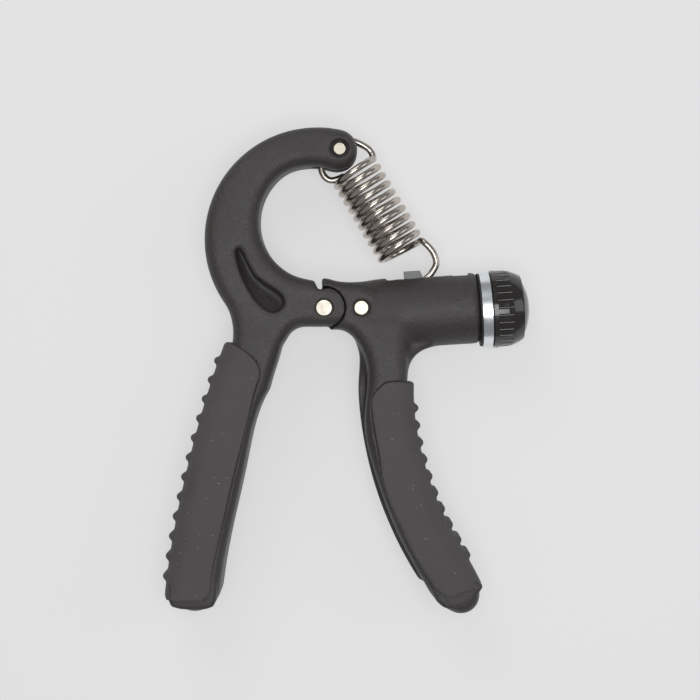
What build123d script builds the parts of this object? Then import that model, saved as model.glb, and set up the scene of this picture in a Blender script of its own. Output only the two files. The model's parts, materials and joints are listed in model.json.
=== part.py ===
from build123d import *

import os
from math import cos, radians, sin

# Adjustable hand grip strengthener, lying on its back. All sizes in mm.
# +Y runs from the handle ends to the spring arm, +Z is the thickness, Z = 0 is the resting plane.

os.makedirs("parts", exist_ok=True)

# Frame: where the main pivot stands in the part's own frame
pivot_x = -7.6
pivot_y = 20.2
grip_half = 13.0  # half thickness at the soft grips, which the object lies on

# Thickness of the plastic mouldings, as half thicknesses from the middle plane
hub_half = 10.8
tip_half = 8.0
handle_half = 12.5
edge_round = 4.2

# Main pivot
ear_radius = 6.8
tongue_radius = 6.0
tongue_half = 4.6
knuckle_gap = 0.3
rivet_shank = 2.5
bush_wall = 1.0
running_fit = 0.05
washer_thickness = 0.4
washer_gap = 0.05
seat_fit = 0.01
seat_gap = 0.25

# Rivet heads
head_radius = 2.75
head_height = 1.3
head_recess = 0.9
recess_gap = 0.25
tail_washer = 0.5
tail_washer_radius = 3.6
tail_height = 0.9
pin_recess_radius = 3.1
pin_floor = -6.6

# Second rivet, beside the pivot
anchor_x = 12.2
anchor_shank = 2.2

# Spring arm
arm_centre = (-2.47, 22.83)
arm_radius = 37.0
pin_centre = (5.1, 52.5)
pin_shank = 1.9
pin_head = 2.25
roller_radius = 2.6
loop_slot_half = 1.6
hub_reach = 16.0
hub_top = 7.6
hub_under = -6.03
notch_floor = 6.1
hollow_depth = 3.4

# Barrel and adjusting screw. The screw lies below the pivot and rises by screw_tilt
screw_tilt = 3.8
screw_drop = 3.93
barrel_rise = 0.8
barrel_radius = 11.8
barrel_start = 10.0
barrel_cone = 12.0
barrel_root_radius = 10.9
barrel_end_round = 1.6
barrel_end = 51.1
bore_radius = 9.3
bore_start = 17.0
screw_radius = 2.5
journal_radius = 2.0

# Slider, and the slot it runs along
slider_start = 27.2
slider_length = 15.8
slot_half = 3.8
rib_height = 12.0
rib_half = 3.0
tab_length = 5.2
tab_height = 14.3
hook_at = 36.4
hook_height = 9.2
hook_pin_radius = 1.1
eye_radius = 3.6
channel_half = 1.55
channel_floor = 2.0
channel_start = 31.1
screw_clearance = 0.4
nut_radius = 5.0
nut_length = 3.7

# End block, collar and knob
block_length = 4.4
tang_length = 8.2
tang_height = 7.0
tang_half = 2.5
tang_centre = 3.1
gasket_length = 0.6
gasket_radius = 12.1
collar_length = 3.6
collar_radius = 12.6
spigot_length = 2.8
clip_pocket = 1.3
clip_radius = 4.5
clip_length = 1.0
washer_length = 0.5
washer_radius = 7.0
flange_gap = 0.1
flange_length = 1.4
flange_radius = 12.9
knob_root_radius = 12.75
knob_end_radius = 10.6
knob_length = 10.0
knob_bore_radius = 9.0
knob_web = 3.0
flute_count = 32
flute_length = 5.6
flute_radius = 0.5
knob_nut_radius = 4.0
knob_nut_length = 2.6
cap_length = 2.6
cap_seat = 1.0
cap_rim = 0.2
screw_past_nut = 0.6

# Spring
wire_radius = 1.13
coil_radius = 7.53
coil_pitch = 3.17
coil_turns = 10
coil_lean = 30.9
coil_top = (9.75, 46.0)

# Soft grips
grip_wall = 2.4
grip_panel_depth = 1.6
grip_round = 6.5
ridge_radius = 1.35
ridge_half = 7.5
arm_ridges = 12
arm_ridge_pitch = 6.62
arm_ridge_first = 4.4
barrel_ridges = 10
barrel_ridge_pitch = 5.75
barrel_ridge_first = 8.6

side = Plane(origin=(pivot_x, pivot_y, grip_half))
across = Plane(origin=side.origin, x_dir=(0, 1, 0), z_dir=(1, 0, 0))
axis_dir = Vector(cos(radians(screw_tilt)), sin(radians(screw_tilt)), 0)
up_dir = Vector(-axis_dir.Y, axis_dir.X, 0)
screw = Plane(origin=side.origin - up_dir * screw_drop, x_dir=up_dir, z_dir=axis_dir)
barrel_axis = Plane(origin=screw.origin + up_dir * barrel_rise, x_dir=up_dir, z_dir=axis_dir)
along_screw = Plane(origin=screw.origin, x_dir=axis_dir, z_dir=(0, 0, 1))
far = 200.0


def flat_rim(part):
    """The outline edges of the front and back faces, without the creases inside those faces."""
    flats = [f for f in part.faces() if abs(f.normal_at().Z) > 0.9]
    edges = ShapeList(e for f in flats for e in f.edges())
    return ShapeList(e for e in edges if sum(e.is_same(other) for other in edges) == 1)


# Side section shared by both mouldings: thick handle, thinner hub, spring arm thinning to its tip
with BuildSketch(across) as thickness:
    with BuildLine():
        front = Spline(
            (-120, handle_half),
            (-60, handle_half),
            (-24, handle_half - 0.2),
            (-8, hub_half + 0.2),
            (14, hub_half - 0.1),
            (arm_centre[1] + arm_radius + 1, tip_half),
            (75, tip_half - 0.9),
        )
        mirror(front, about=Plane.XZ)
        Line((-120, handle_half), (-120, -handle_half))
        Line((75, tip_half - 0.9), (75, 0.9 - tip_half))
    make_face()


def seat_holes(centre, radius, recess_radius, floor):
    """A rivet's hole from front to back, with a recess for its tail from `floor` down."""
    with BuildSketch(side) as hole:
        with Locations(centre):
            Circle(radius + seat_fit)
    extrude(hole.sketch, amount=far, both=True, mode=Mode.SUBTRACT)
    with BuildSketch(side.offset(floor)) as recess:
        with Locations(centre):
            Circle(recess_radius)
    extrude(recess.sketch, amount=-far, mode=Mode.SUBTRACT)


def head_recess_at(centre, radius, floor):
    """A round recess in the front face, from `floor` up."""
    with BuildSketch(side.offset(floor)) as recess:
        with Locations(centre):
            Circle(radius)
    extrude(recess.sketch, amount=far, mode=Mode.SUBTRACT)


def ridge_points(edge, first, pitch, count):
    """Evenly spaced points down the outer side of a grip, from its upper end."""
    return [edge.position_at(first + i * pitch, PositionMode.LENGTH) for i in range(count)]


# Left handle with its fork and spring arm -------------------------------------------------------

arm_inner_line = [(-19.2, -28.2), (-26.2, -52.2), (-31.5, -76.2), (-34.1, -92.2)]
arm_outer_line = [(-33.4, -13.2), (-37.6, -25.5), (-45.3, -53.5), (-50.4, -78.8), (-52.4, -93.5)]

with BuildSketch(side) as arm_outline:
    with BuildLine():
        crown = ThreePointArc((-32.6, 1.17), (-39.47, 22.83), (-20.0, 55.4))
        top = ThreePointArc(crown @ 1, (-7.0, 59.55), (5.65, 58.93))
        nose = ThreePointArc(top @ 1, (10.85, 51.8), (4.2, 45.8))
        palate = Spline(
            [nose @ 1, (-0.5, 46.7), (-5.5, 46.9), (-10.9, 45.8), (-15.5, 42.8)],
            tangents=[nose % 1, (-0.72, -0.69)],
        )
        throat = ThreePointArc(palate @ 1, (-21.5, 28.83), (-10.93, 11.17))
        lip = Spline([throat @ 1, (-5.5, 9.45), (hub_reach, hub_top)], tangents=[throat % 1, (1, 0)])
        end = RadiusArc(lip @ 1, (hub_reach, hub_under), (hub_top - hub_under) / 2)
        middle = Line(end @ 1, (-6.5, hub_under))
        crotch = TangentArc(middle @ 1, (-13.2, -13.2), tangent=(-1, 0))
        inner = Spline([crotch @ 1] + arm_inner_line, tangents=[crotch % 1, (-0.12, -1)])
        heel = TangentArc(inner @ 1, (-42.0, -99.6), tangent=inner % 1)
        toe = TangentArc(heel @ 1, (-50.3, -92.4), tangent=heel % 1)
        wall = [(x + grip_wall, y - 0.25 * grip_wall) for x, y in arm_outer_line[3:0:-1]]
        Spline([toe @ 1] + wall + [(-30.0, -7.6), crown @ 0], tangents=[toe % 1, crown % 0])
    make_face()

with BuildSketch(side) as arm_panel:
    with BuildLine():
        edge = Spline(arm_outer_line)
        top = ThreePointArc(edge @ 0, (-32.9, -11.7), (-31.4, -11.2))
        brow = Spline(top @ 1, (-26.8, -13.5), (-23.4, -16.2), (-21.2, -19.4), (-21.3, -23.6))
        inner = Spline(
            [brow @ 1, (-24.0, -33.5), (-28.6, -51.5), (-33.6, -73.0), (-36.9, -90.0)],
            tangents=[brow % 1, (-0.12, -1)],
        )
        foot = ThreePointArc(inner @ 1, (-38.3, -94.6), (-41.8, -95.9))
        base = Line(foot @ 1, (-48.6, -96.2))
        ThreePointArc(base @ 1, (-51.3, -95.9), edge @ 1)
    make_face()

# Tear-shaped hollow in the front of the spring arm's root
with BuildSketch(side.offset(hub_half - hollow_depth)) as hollow:
    with BuildLine():
        left = Spline((-29.0, 21.0), (-27.9, 13.0), (-25.1, 6.6), (-21.2, 0.9), (-17.4, -1.6))
        ball = ThreePointArc(left @ 1, (-13.5, 0.4), (-14.7, 4.7))
        Spline([ball @ 1, (-18.4, 7.2), (-22.6, 10.4), (-25.5, 15.3), (-29.0, 21.0)])
    make_face()

with BuildPart() as arm_handle:
    add(arm_outline.sketch)
    extrude(amount=handle_half + 1, both=True)
    extrude(thickness.sketch, amount=far, dir=(1, 0, 0), both=True, mode=Mode.INTERSECT)
    fillet(flat_rim(arm_handle), edge_round)
    # The hub ends in two round ears, with a notch above them
    with BuildSketch(side):
        with Locations((28, -5)):
            Rectangle(60.2, 50)
        Circle(ear_radius, mode=Mode.SUBTRACT)
        Polygon((-2.1, notch_floor), (0.9, notch_floor), (0.9, 12), (-4.5, 12), (-3.4, 9.4), align=None)
    extrude(amount=far, both=True, mode=Mode.SUBTRACT)
    # Gap between the ears for the tongue and its washers
    with BuildSketch(side):
        Circle(ear_radius + knuckle_gap)
    extrude(amount=tongue_half + washer_thickness + 2 * washer_gap, both=True, mode=Mode.SUBTRACT)
    seat_holes((0, 0), rivet_shank, tail_washer_radius + recess_gap, head_recess - hub_half)
    head_recess_at((0, 0), head_radius + recess_gap, hub_half - head_recess)
    seat_holes(pin_centre, pin_shank, tail_washer_radius + recess_gap, pin_floor)
    head_recess_at(pin_centre, pin_recess_radius, -pin_floor)
    # Slot for the spring's top loop
    with BuildSketch(side):
        with Locations((5.55, 51.0)):
            Rectangle(18.9, 13.8)
    extrude(amount=loop_slot_half, both=True, mode=Mode.SUBTRACT)
    add(hollow.sketch)
    extrude(amount=far, mode=Mode.SUBTRACT)
    # Seat for the soft grip on the front and back faces
    with BuildSketch(side.offset(handle_half - grip_panel_depth)):
        add(arm_panel.sketch_local)
    extrude(amount=far, mode=Mode.SUBTRACT)
    with BuildSketch(side.offset(grip_panel_depth - handle_half)):
        add(arm_panel.sketch_local)
    extrude(amount=-far, mode=Mode.SUBTRACT)

with BuildPart() as arm_grip:
    with BuildSketch(side):
        with BuildLine():
            edge = Spline(arm_outer_line)
            upper = Line(edge @ 0, edge @ 0 - (edge % 0) * 20)
            lower = Line(edge @ 1, edge @ 1 + (edge % 1) * 20)
            Polyline(upper @ 1, upper @ 1 + Vector(45, 0), lower @ 1 + Vector(45, 0), lower @ 1)
        make_face()
    extrude(amount=grip_half, both=True)
    outer_side = arm_grip.faces().filter_by(GeomType.PLANE, reverse=True)
    fillet(ShapeList(outer_side.edges()).filter_by(Plane.XY), grip_round)
    add(arm_panel.sketch)
    extrude(amount=far, both=True, mode=Mode.INTERSECT)
    bumps = ridge_points(edge, arm_ridge_first, arm_ridge_pitch, arm_ridges)
    with BuildSketch(side):
        with Locations(*bumps):
            Circle(ridge_radius)
    extrude(amount=ridge_half, both=True)
    with Locations(side.offset(ridge_half), side.offset(-ridge_half)):
        with Locations(*bumps):
            Sphere(ridge_radius)
    add(arm_handle.part, mode=Mode.SUBTRACT)

# Right handle with its tongue and barrel --------------------------------------------------------

barrel_outer_line = [(29.6, -24.3), (29.9, -35.0), (33.4, -52.2), (39.5, -68.2), (48.5, -84.2), (52.0, -91.0)]
rib_line = [(8.5, -8.1), (11.57, -14.8), (11.4, -23.0), (12.0, -36.2), (16.43, -57.5), (25.0, -78.8), (31.6, -90.3)]
rib_back_line = [(36.0, -89.0), (29.0, -76.0), (20.4, -56.0), (16.0, -36.0), (15.6, -15.0), (8.0, -3.0)]

with BuildSketch(side) as barrel_outline:
    with BuildLine():
        under = Line((-8, hub_under - 0.97), (4.4, hub_under - 0.97))
        inner = Spline(
            [under @ 1, (12.9, -15.0), (13.3, -36.2), (17.8, -57.5), (26.2, -78.2), (34.0, -92.2)],
            tangents=[(1, 0), (0.48, -0.87)],
            tangent_scalars=(1, 0.6),
        )
        heel = TangentArc(inner @ 1, (42.5, -99.9), tangent=inner % 1)
        toe = TangentArc(heel @ 1, (49.9, -90.6), tangent=heel % 1)
        wall = [(x - 2.3, y - 0.6) for x, y in barrel_outer_line[4:1:-1]]
        outer = Spline([toe @ 1] + wall + [(27.4, -30.0), (27.6, -12.0)], tangents=[toe % 1, (0, 1)])
        top = Spline(
            [outer @ 1, (26.2, -4.0), (21.0, 3.6), (13.0, 8.0), (5.0, 8.75), (-8.0, 10.4)],
            tangents=[(0, 1), (-1, 0)],
        )
        ThreePointArc(top @ 1, (-16.7, 1.7), under @ 0)
    make_face()

with BuildSketch(side) as barrel_panel:
    with BuildLine():
        edge = Spline(barrel_outer_line)
        brim = Line(edge @ 0, (22.2, -24.2))
        brow = Spline([brim @ 1, (18.4, -25.9), (15.9, -28.9), (15.5, -31.0)], tangents=[(-1, 0), (0, -1)])
        inner = Spline(
            [brow @ 1, (17.8, -46.9), (19.7, -58.1), (25.3, -72.0), (30.9, -83.3), (37.1, -92.2)],
            tangents=[(0, -1), (0.6, -0.8)],
            tangent_scalars=(1, 0.6),
        )
        foot = ThreePointArc(inner @ 1, (39.2, -94.0), (42.4, -94.6))
        Spline(foot @ 1, (47.4, -92.4), edge @ 1)
    make_face()

with BuildPart() as barrel_handle:
    add(barrel_outline.sketch)
    extrude(amount=handle_half + 1, both=True)
    extrude(thickness.sketch, amount=far, dir=(1, 0, 0), both=True, mode=Mode.INTERSECT)
    fillet(flat_rim(barrel_handle), edge_round)
    # Moulded rib down the inner side of the handle
    with BuildSketch(side):
        with BuildLine():
            rib = Spline(rib_line)
            Polyline([rib @ 1] + rib_back_line + [rib @ 0])
        make_face()
    extrude(amount=rib_half, both=True)
    # Barrel, and the web that runs from its underside into the handle
    with BuildSketch(Plane(origin=barrel_axis.origin, x_dir=axis_dir, z_dir=(0, 0, 1))):
        with BuildLine():
            Line((barrel_start, 0), (barrel_start, barrel_root_radius))
            Spline(
                [(barrel_start, barrel_root_radius), (barrel_start + barrel_cone, barrel_radius)],
                tangents=[(1, 0.14), (1, 0)],
            )
            Line((barrel_start + barrel_cone, barrel_radius), (barrel_end - barrel_end_round, barrel_radius))
            RadiusArc(
                (barrel_end - barrel_end_round, barrel_radius),
                (barrel_end, barrel_radius - barrel_end_round),
                barrel_end_round,
            )
            Polyline((barrel_end, barrel_radius - barrel_end_round), (barrel_end, 0), (barrel_start, 0))
        make_face()
    revolve(axis=Axis(barrel_axis.origin, axis_dir))
    with BuildSketch(side):
        with BuildLine():
            web = Line((27.4, -24.0), (27.6, -22.0))
            bend = TangentArc(web @ 1, (36.0, -12.9), tangent=(0, 1))
            Polyline(bend @ 1, (36.0, -8.0), (24.0, -8.0), (24.0, -24.0), web @ 0)
        make_face()
    extrude(amount=hub_half - edge_round, both=True)
    # The hub stops short of the arm's hub and clears its ears
    with BuildSketch(side):
        with Locations((-50.7, 0)):
            Rectangle(100, 60)
        with Locations((-8.3, -13)):
            Rectangle(20, 20)
    extrude(amount=far, both=True, mode=Mode.SUBTRACT)
    with BuildSketch(side.offset(tongue_half)):
        Circle(ear_radius + knuckle_gap)
    extrude(amount=far, mode=Mode.SUBTRACT)
    with BuildSketch(side.offset(-tongue_half)):
        Circle(ear_radius + knuckle_gap)
    extrude(amount=-far, mode=Mode.SUBTRACT)
    with BuildSketch(side):
        Circle(tongue_radius)
    extrude(amount=tongue_half, both=True)
    with BuildSketch(side):
        Circle(rivet_shank + bush_wall + seat_fit)
    extrude(amount=far, both=True, mode=Mode.SUBTRACT)
    # Bore for the end block, slider and collar spigot
    with BuildSketch(screw.offset(bore_start)):
        Circle(bore_radius)
    extrude(amount=far, mode=Mode.SUBTRACT)
    # Pocket for the end block's tang
    with BuildSketch(along_screw):
        with Locations((bore_start, tang_centre)):
            Rectangle(2 * (tang_length + seat_gap), tang_height + 2 * seat_gap)
    extrude(amount=tang_half + seat_gap, both=True, mode=Mode.SUBTRACT)
    # Slot for the slider's rib
    slot_start = bore_start + block_length
    with BuildSketch(along_screw):
        with Locations(((slot_start + barrel_end - spigot_length) / 2, far / 2)):
            Rectangle(barrel_end - spigot_length - slot_start, far)
    extrude(amount=slot_half, both=True, mode=Mode.SUBTRACT)
    seat_holes((anchor_x, 0), anchor_shank, tail_washer_radius + recess_gap, head_recess - hub_half)
    head_recess_at((anchor_x, 0), head_radius + recess_gap, hub_half - head_recess)
    # Seat for the soft grip on the front and back faces
    with BuildSketch(side.offset(handle_half - grip_panel_depth)):
        add(barrel_panel.sketch_local)
    extrude(amount=far, mode=Mode.SUBTRACT)
    with BuildSketch(side.offset(grip_panel_depth - handle_half)):
        add(barrel_panel.sketch_local)
    extrude(amount=-far, mode=Mode.SUBTRACT)

with BuildPart() as barrel_grip:
    with BuildSketch(side):
        with BuildLine():
            edge = Spline(barrel_outer_line)
            upper = Line(edge @ 0, edge @ 0 - (edge % 0) * 20)
            lower = Line(edge @ 1, edge @ 1 + (edge % 1) * 20)
            Polyline(upper @ 1, upper @ 1 - Vector(35, 0), lower @ 1 - Vector(55, 0), lower @ 1)
        make_face()
    extrude(amount=grip_half, both=True)
    outer_side = barrel_grip.faces().filter_by(GeomType.PLANE, reverse=True)
    fillet(ShapeList(outer_side.edges()).filter_by(Plane.XY), grip_round)
    add(barrel_panel.sketch)
    extrude(amount=far, both=True, mode=Mode.INTERSECT)
    bumps = ridge_points(edge, barrel_ridge_first, barrel_ridge_pitch, barrel_ridges)
    with BuildSketch(side):
        with Locations(*bumps):
            Circle(ridge_radius)
    extrude(amount=ridge_half, both=True)
    with Locations(side.offset(ridge_half), side.offset(-ridge_half)):
        with Locations(*bumps):
            Sphere(ridge_radius)
    add(barrel_handle.part, mode=Mode.SUBTRACT)

# Pivot: rivets, bush and washers ----------------------------------------------------------------


def dome_profile(radius, rim, height):
    """Half section of a domed disc standing on the X axis: straight rim, then a spherical top."""
    rise = height - rim
    ball = (radius**2 + rise**2) / (2 * rise)
    with BuildLine() as outline:
        Polyline((0, height), (0, 0), (radius, 0), (radius, rim))
        RadiusArc((radius, rim), (0, height), -ball)
    make_face(outline.edges())


def rivet(centre, shank, head, front, back):
    """A rivet with a domed head on its front and a flat peened tail behind its washer."""
    with BuildSketch(side.offset(back)) as body:
        with Locations(centre):
            Circle(shank)
    extrude(body.sketch, amount=front - back)
    dome_plane = Plane(origin=side.from_local_coords((*centre, front)), z_dir=(0, -1, 0))
    with BuildSketch(dome_plane) as dome:
        dome_profile(head, 0.25 * head_height, head_height)
    revolve(dome.sketch, axis=Axis(dome_plane.origin, (0, 0, 1)))
    with BuildSketch(side.offset(back)) as tail:
        with Locations(centre):
            Circle(head)
    extrude(tail.sketch, amount=-tail_height)


def tail_ring(centre, shank, floor):
    """The washer a rivet's tail is peened over."""
    with BuildSketch(side.offset(floor)) as ring:
        with Locations(centre):
            Circle(tail_washer_radius)
            Circle(shank + seat_fit, mode=Mode.SUBTRACT)
    extrude(ring.sketch, amount=-tail_washer)


front_seat = hub_half - head_recess
with BuildPart() as pivot_rivet:
    rivet((0, 0), rivet_shank, head_radius, front_seat, -front_seat - tail_washer)

with BuildPart() as anchor_rivet:
    rivet((anchor_x, 0), anchor_shank, head_radius, front_seat, -front_seat - tail_washer)

with BuildPart() as spring_pin:
    rivet(pin_centre, pin_shank, pin_head, -pin_floor, pin_floor - tail_washer)

with BuildPart() as arm_tail_washers:
    tail_ring((0, 0), rivet_shank, -front_seat)
    tail_ring(pin_centre, pin_shank, pin_floor)

with BuildPart() as anchor_tail_washer:
    tail_ring((anchor_x, 0), anchor_shank, -front_seat)

with BuildPart() as pivot_bush:
    with BuildSketch(side):
        Circle(rivet_shank + bush_wall)
        Circle(rivet_shank + running_fit, mode=Mode.SUBTRACT)
    extrude(amount=tongue_half, both=True)

with BuildPart() as pivot_washers:
    for face_way in (1, -1):
        with BuildSketch(side.offset(face_way * (tongue_half + washer_gap))):
            Circle(tongue_radius)
            Circle(rivet_shank + running_fit, mode=Mode.SUBTRACT)
        extrude(amount=face_way * washer_thickness)

with BuildPart() as spring_pin_roller:
    with BuildSketch(side):
        with Locations(pin_centre):
            Circle(roller_radius)
            Circle(pin_shank + running_fit, mode=Mode.SUBTRACT)
    extrude(amount=loop_slot_half - running_fit, both=True)

# Adjusting screw and what rides on it -----------------------------------------------------------

collar_start = barrel_end + gasket_length
collar_end = collar_start + collar_length
flange_start = collar_end + flange_gap
knob_nut_start = flange_start + knob_web
clip_start = barrel_end - spigot_length + 0.3
slider_end = slider_start + slider_length

with BuildPart() as screw_end_block:
    with BuildSketch(screw.offset(bore_start)):
        Circle(bore_radius - running_fit)
    extrude(amount=block_length)
    with BuildSketch(along_screw):
        with Locations((bore_start - tang_length / 2 + 1, tang_centre)):
            Rectangle(tang_length + 2, tang_height)
    extrude(amount=tang_half, both=True)
    with BuildSketch(screw.offset(bore_start - 1)):
        Circle(journal_radius + running_fit)
    extrude(amount=far, mode=Mode.SUBTRACT)
    with BuildSketch(side):
        with Locations((anchor_x, 0)):
            Circle(anchor_shank + running_fit)
    extrude(amount=far, both=True, mode=Mode.SUBTRACT)

with BuildPart() as slider_block:
    with BuildSketch(screw.offset(slider_start)):
        Circle(bore_radius - running_fit * 2)
    extrude(amount=slider_length)
    with BuildSketch(along_screw):
        with Locations(((slider_start + slider_end) / 2, (channel_floor + rib_height) / 2)):
            Rectangle(slider_length, rib_height - channel_floor)
        with BuildLine():
            Polyline(
                (slider_start, rib_height - 1),
                (slider_start + tab_length + 1.3, rib_height - 1),
                (slider_start + tab_length, tab_height),
                (slider_start, tab_height),
                close=True,
            )
        make_face()
    extrude(amount=slot_half - 2 * running_fit, both=True)
    # Clearance for the screw, pocket for the nut, channel for the hook's eye, hole for its pin
    with BuildSketch(screw.offset(slider_start)):
        Circle(screw_radius + screw_clearance)
    extrude(amount=slider_length, mode=Mode.SUBTRACT)
    with BuildSketch(screw.offset(slider_start)):
        Circle(nut_radius + seat_fit)
    extrude(amount=nut_length, mode=Mode.SUBTRACT)
    with BuildSketch(along_screw):
        with Locations(((channel_start + slider_end) / 2 + 1, channel_floor + far / 2)):
            Rectangle(slider_end - channel_start + 2, far)
    extrude(amount=channel_half, both=True, mode=Mode.SUBTRACT)
    with BuildSketch(along_screw):
        with Locations((hook_at, hook_height)):
            Circle(hook_pin_radius + seat_fit)
    extrude(amount=far, both=True, mode=Mode.SUBTRACT)

with BuildPart() as hook_pin:
    with BuildSketch(along_screw):
        with Locations((hook_at, hook_height)):
            Circle(hook_pin_radius)
    extrude(amount=slot_half - 2 * running_fit, both=True)

with BuildPart() as slider_nut:
    with BuildSketch(screw.offset(slider_start)):
        Circle(nut_radius)
        Circle(screw_radius + running_fit, mode=Mode.SUBTRACT)
    extrude(amount=nut_length)

with BuildPart() as adjusting_screw:
    with BuildSketch(screw.offset(bore_start + seat_gap)):
        Circle(journal_radius)
    extrude(amount=block_length)
    with BuildSketch(screw.offset(slot_start + seat_gap)):
        Circle(screw_radius)
    extrude(amount=knob_nut_start + knob_nut_length + screw_past_nut - slot_start - seat_gap)

with BuildPart() as screw_clip:
    with BuildSketch(screw.offset(clip_start)):
        Circle(clip_radius)
        Circle(screw_radius + seat_fit, mode=Mode.SUBTRACT)
    extrude(amount=clip_length)

with BuildPart() as end_collar:
    with BuildSketch(screw.offset(collar_start)):
        Circle(collar_radius)
    extrude(amount=collar_length)
    with BuildSketch(screw.offset(barrel_end - spigot_length)):
        Circle(bore_radius - running_fit)
    extrude(amount=spigot_length + gasket_length)
    chamfer(end_collar.edges().filter_by(GeomType.CIRCLE).sort_by(Axis(screw.origin, axis_dir))[-1], 0.4)
    with BuildSketch(screw.offset(barrel_end - spigot_length)):
        Circle(screw_radius + running_fit)
    extrude(amount=far, mode=Mode.SUBTRACT)
    with BuildSketch(screw.offset(barrel_end - spigot_length)):
        Circle(clip_radius + seat_gap)
    extrude(amount=clip_pocket, mode=Mode.SUBTRACT)

with BuildPart() as collar_gasket:
    with BuildSketch(screw.offset(barrel_end)):
        Circle(gasket_radius)
        Circle(bore_radius, mode=Mode.SUBTRACT)
    extrude(amount=gasket_length)

with BuildPart() as thrust_washer:
    with BuildSketch(screw.offset(collar_end)):
        Circle(washer_radius)
        Circle(screw_radius + seat_fit, mode=Mode.SUBTRACT)
    extrude(amount=washer_length)

knob_end = flange_start + knob_length
with BuildPart() as adjusting_knob:
    with BuildSketch(along_screw):
        with BuildLine():
            Polyline(
                (flange_start, 0),
                (flange_start, flange_radius),
                (flange_start + flange_length, flange_radius),
                (flange_start + flange_length, knob_root_radius),
                (flange_start + 0.48 * knob_length, knob_root_radius - 0.15),
            )
            Spline(
                (flange_start + 0.48 * knob_length, knob_root_radius - 0.15),
                (flange_start + 0.80 * knob_length, knob_root_radius - 1.05),
                (knob_end, knob_end_radius),
            )
            Polyline(
                (knob_end, knob_end_radius),
                (knob_end, knob_bore_radius),
                (knob_nut_start, knob_bore_radius),
                (knob_nut_start, 0),
                (flange_start, 0),
            )
        make_face()
    revolve(axis=Axis(screw.origin, axis_dir))
    with BuildSketch(screw.offset(flange_start)):
        Circle(screw_radius + seat_fit)
    extrude(amount=far, mode=Mode.SUBTRACT)
    with BuildSketch(screw.offset(flange_start)):
        Circle(washer_radius + seat_gap)
    extrude(amount=washer_length - flange_gap + seat_fit, mode=Mode.SUBTRACT)
    # Grip flutes round the rim
    with BuildSketch(screw.offset(flange_start + flange_length)):
        with PolarLocations(knob_root_radius, flute_count):
            Circle(flute_radius)
    extrude(amount=flute_length, mode=Mode.SUBTRACT)

with BuildPart() as knob_nut:
    with BuildSketch(screw.offset(knob_nut_start)):
        RegularPolygon(knob_nut_radius, 6)
        Circle(screw_radius + seat_fit, mode=Mode.SUBTRACT)
    extrude(amount=knob_nut_length)

with BuildPart() as knob_cap:
    with BuildSketch(screw.offset(knob_end - cap_seat)):
        Circle(knob_bore_radius - seat_fit)
    extrude(amount=cap_seat)
    with BuildSketch(Plane(origin=screw.origin + axis_dir * knob_end, x_dir=up_dir, z_dir=(0, 0, -1))) as dome:
        dome_profile(knob_bore_radius + cap_rim, cap_rim, cap_length)
    revolve(dome.sketch, axis=Axis(screw.origin, axis_dir))

# Tension spring: one wire in three nodes, because its coils stretch as it works ----------------

coil_axis = Vector(sin(radians(coil_lean)), -cos(radians(coil_lean)), 0)
coil_side = Vector(-coil_axis.Y, coil_axis.X, 0)
coil_origin = side.from_local_coords((*coil_top, 0))
coil_plane = Plane(origin=coil_origin, x_dir=coil_side, z_dir=coil_axis)
turns = coil_plane * Helix(coil_pitch, coil_pitch * coil_turns, coil_radius)

with BuildPart() as spring_coil:
    with BuildSketch(Plane(origin=turns @ 0, z_dir=turns % 0)):
        Circle(wire_radius)
    sweep(path=turns, is_frenet=True)

# The top loop leaves the first turn, runs over the roller and ends in a short open tail
with BuildPart() as spring_top_loop:
    with BuildLine(side) as loop_line:
        Spline(
            (16.0, 51.5),
            (14.5, 53.3),
            (12.3, 54.7),
            (9.1, 55.95),
            (pin_centre[0], pin_centre[1] + roller_radius + wire_radius + running_fit),
            (1.5, 55.0),
            (-0.7, 51.8),
            (-1.1, 47.3),
            (-0.5, 44.7),
            (2.3, 42.7),
        )
    with BuildSketch(Plane(origin=loop_line.line @ 0, z_dir=loop_line.line % 0)):
        Circle(wire_radius)
    sweep(path=loop_line.line)

# The hook leaves the last turn, bends round into an eye and closes on itself
hook_centre = side.to_local_coords(along_screw.from_local_coords((hook_at, hook_height, 0)))
eye = [(eye_radius * cos(radians(a)), eye_radius * sin(radians(a))) for a in range(180, 391, 42)]
eye_points = [(hook_centre.X + x, hook_centre.Y + y) for x, y in eye]

with BuildPart() as spring_hook:
    with BuildLine(side) as hook_line:
        Spline([(33.5, 21.6), (36.5, 18.0), (37.2, 14.8), (35.4, 11.6)] + eye_points)
    with BuildSketch(Plane(origin=hook_line.line @ 0, z_dir=hook_line.line % 0)):
        Circle(wire_radius)
    sweep(path=hook_line.line)

# One STEP file per piece ------------------------------------------------------------------------

arm_handle.part.label = "arm_handle"
export_step(arm_handle.part, "parts/arm_handle.step")
arm_grip.part.label = "arm_grip"
export_step(arm_grip.part, "parts/arm_grip.step")
barrel_handle.part.label = "barrel_handle"
export_step(barrel_handle.part, "parts/barrel_handle.step")
barrel_grip.part.label = "barrel_grip"
export_step(barrel_grip.part, "parts/barrel_grip.step")
pivot_rivet.part.label = "pivot_rivet"
export_step(pivot_rivet.part, "parts/pivot_rivet.step")
anchor_rivet.part.label = "anchor_rivet"
export_step(anchor_rivet.part, "parts/anchor_rivet.step")
spring_pin.part.label = "spring_pin"
export_step(spring_pin.part, "parts/spring_pin.step")
arm_tail_washers.part.label = "arm_tail_washers"
export_step(arm_tail_washers.part, "parts/arm_tail_washers.step")
anchor_tail_washer.part.label = "anchor_tail_washer"
export_step(anchor_tail_washer.part, "parts/anchor_tail_washer.step")
pivot_bush.part.label = "pivot_bush"
export_step(pivot_bush.part, "parts/pivot_bush.step")
pivot_washers.part.label = "pivot_washers"
export_step(pivot_washers.part, "parts/pivot_washers.step")
spring_pin_roller.part.label = "spring_pin_roller"
export_step(spring_pin_roller.part, "parts/spring_pin_roller.step")
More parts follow.
